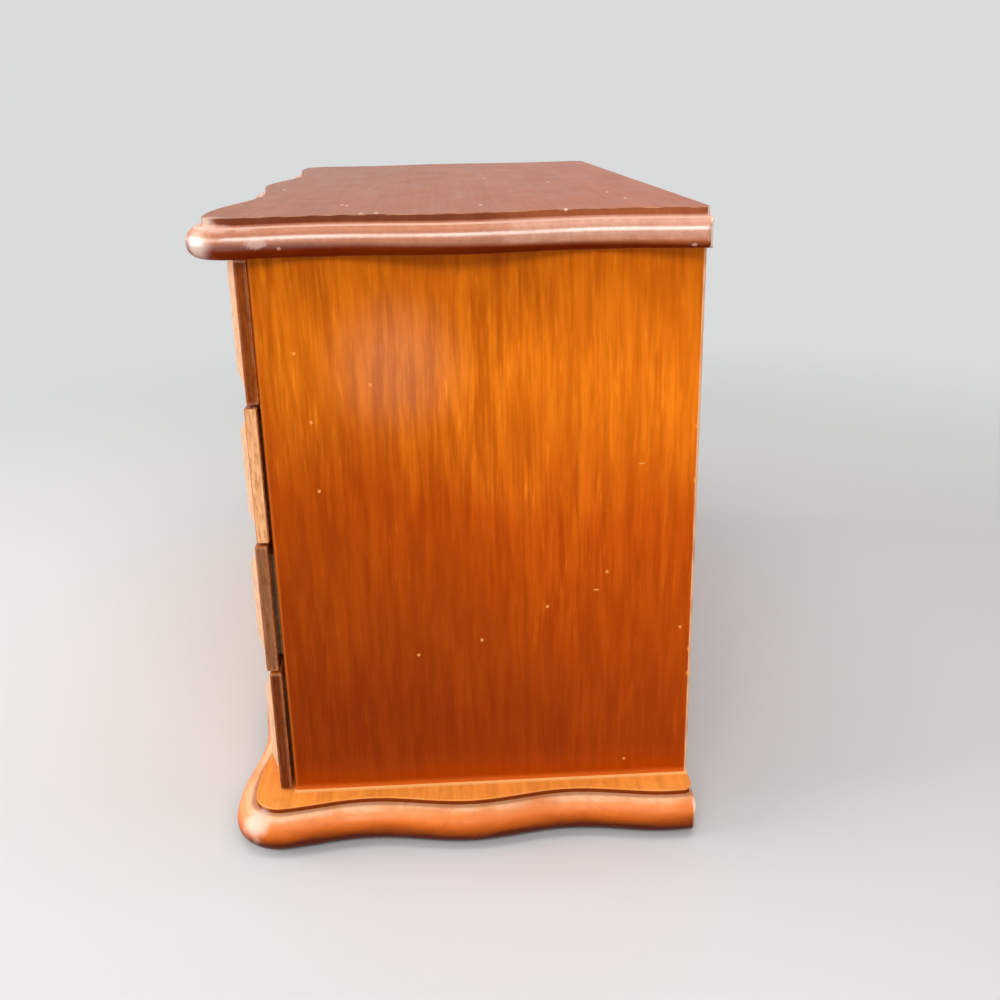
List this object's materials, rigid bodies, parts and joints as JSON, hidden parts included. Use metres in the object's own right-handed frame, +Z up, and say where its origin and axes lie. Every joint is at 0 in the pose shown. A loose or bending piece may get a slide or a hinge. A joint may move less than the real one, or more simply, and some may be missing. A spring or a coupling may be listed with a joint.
{
  "type": "vanity box with mirror",
  "caption": "Wooden vanity box with a moulded hinged lid over a mirror and a lined tray, raised-field drawer fronts with knobs, and a wavy moulded base.",
  "frame": {"origin": "on the standing surface, under the middle of the whole box", "axes": "+Z up, -Y towards the front of the drawers, +X to the right seen from the front"},
  "size_m": [0.3792, 0.182, 0.232],
  "materials": {
    "lid_wood": "dark red-brown stain under gloss lacquer, edges rubbed paler",
    "base_wood": "orange-brown stain under gloss lacquer",
    "panel_wood": "varnished orange-brown veneer, grain upright",
    "front_wood": "brown stain under lacquer, bevels paler",
    "frame_wood": "dark red-brown gloss",
    "inner_wood": "pale unvarnished wood",
    "velvet": "dark red velvet pile",
    "velvet_board": "board covered with dark red velvet",
    "felt": "dark felt",
    "mirror": "silvered glass",
    "knob_brass": "aged polished brass",
    "hinge_brass": "brass plate, dulled",
    "screw_steel": "plain steel"
  },
  "bodies": {
    "case": {"back_panel": "panel_wood", "base_board": "base_wood", "divider_1": "inner_wood", "divider_2": "inner_wood", "felt_pads": "felt", "fixed_top_front": "front_wood", "hinge_leaves_case": "hinge_brass", "hinge_pins": "hinge_brass", "hinge_screws_case": "screw_steel", "partition_cross": "velvet_board", "partition_left": "velvet_board", "partition_right": "velvet_board", "ring_rolls": "velvet", "side_panel_left": "panel_wood", "side_panel_right": "panel_wood", "top_knob": "knob_brass", "top_knob_screw": "screw_steel", "tray_floor": "inner_wood", "tray_front_wall": "inner_wood", "tray_lining": "velvet"},
    "lid": {"hinge_leaves_lid": "hinge_brass", "hinge_screws_lid": "screw_steel", "lid_board": "lid_wood", "mirror_frame": "frame_wood", "mirror_glass": "mirror"},
    "drawer_1": {"drawer_1_back": "inner_wood", "drawer_1_bottom": "inner_wood", "drawer_1_front": "front_wood", "drawer_1_knob": "knob_brass", "drawer_1_knob_screw": "screw_steel", "drawer_1_lining": "velvet", "drawer_1_side_left": "inner_wood", "drawer_1_side_right": "inner_wood"},
    "drawer_2": {"drawer_2_back": "inner_wood", "drawer_2_bottom": "inner_wood", "drawer_2_front": "front_wood", "drawer_2_knob": "knob_brass", "drawer_2_knob_screw": "screw_steel", "drawer_2_lining": "velvet", "drawer_2_side_left": "inner_wood", "drawer_2_side_right": "inner_wood"},
    "drawer_3": {"drawer_3_back": "inner_wood", "drawer_3_bottom": "inner_wood", "drawer_3_front": "front_wood", "drawer_3_knob": "knob_brass", "drawer_3_knob_screw": "screw_steel", "drawer_3_lining": "velvet", "drawer_3_side_left": "inner_wood", "drawer_3_side_right": "inner_wood"}
  },
  "joints": [
    {"name": "lid_hinge", "type": "hinge", "parent": "case", "child": "lid", "pos_m": [0, 0.08775, 0.2189], "axis": [-1, 0, 0], "range_deg": [0, 100]},
    {"name": "drawer_1_slide", "type": "slide", "parent": "case", "child": "drawer_1", "axis": [0, -1, 0], "range_m": [0, 0.105]},
    {"name": "drawer_2_slide", "type": "slide", "parent": "case", "child": "drawer_2", "axis": [0, -1, 0], "range_m": [0, 0.105]},
    {"name": "drawer_3_slide", "type": "slide", "parent": "case", "child": "drawer_3", "axis": [0, -1, 0], "range_m": [0, 0.105]}
  ]
}
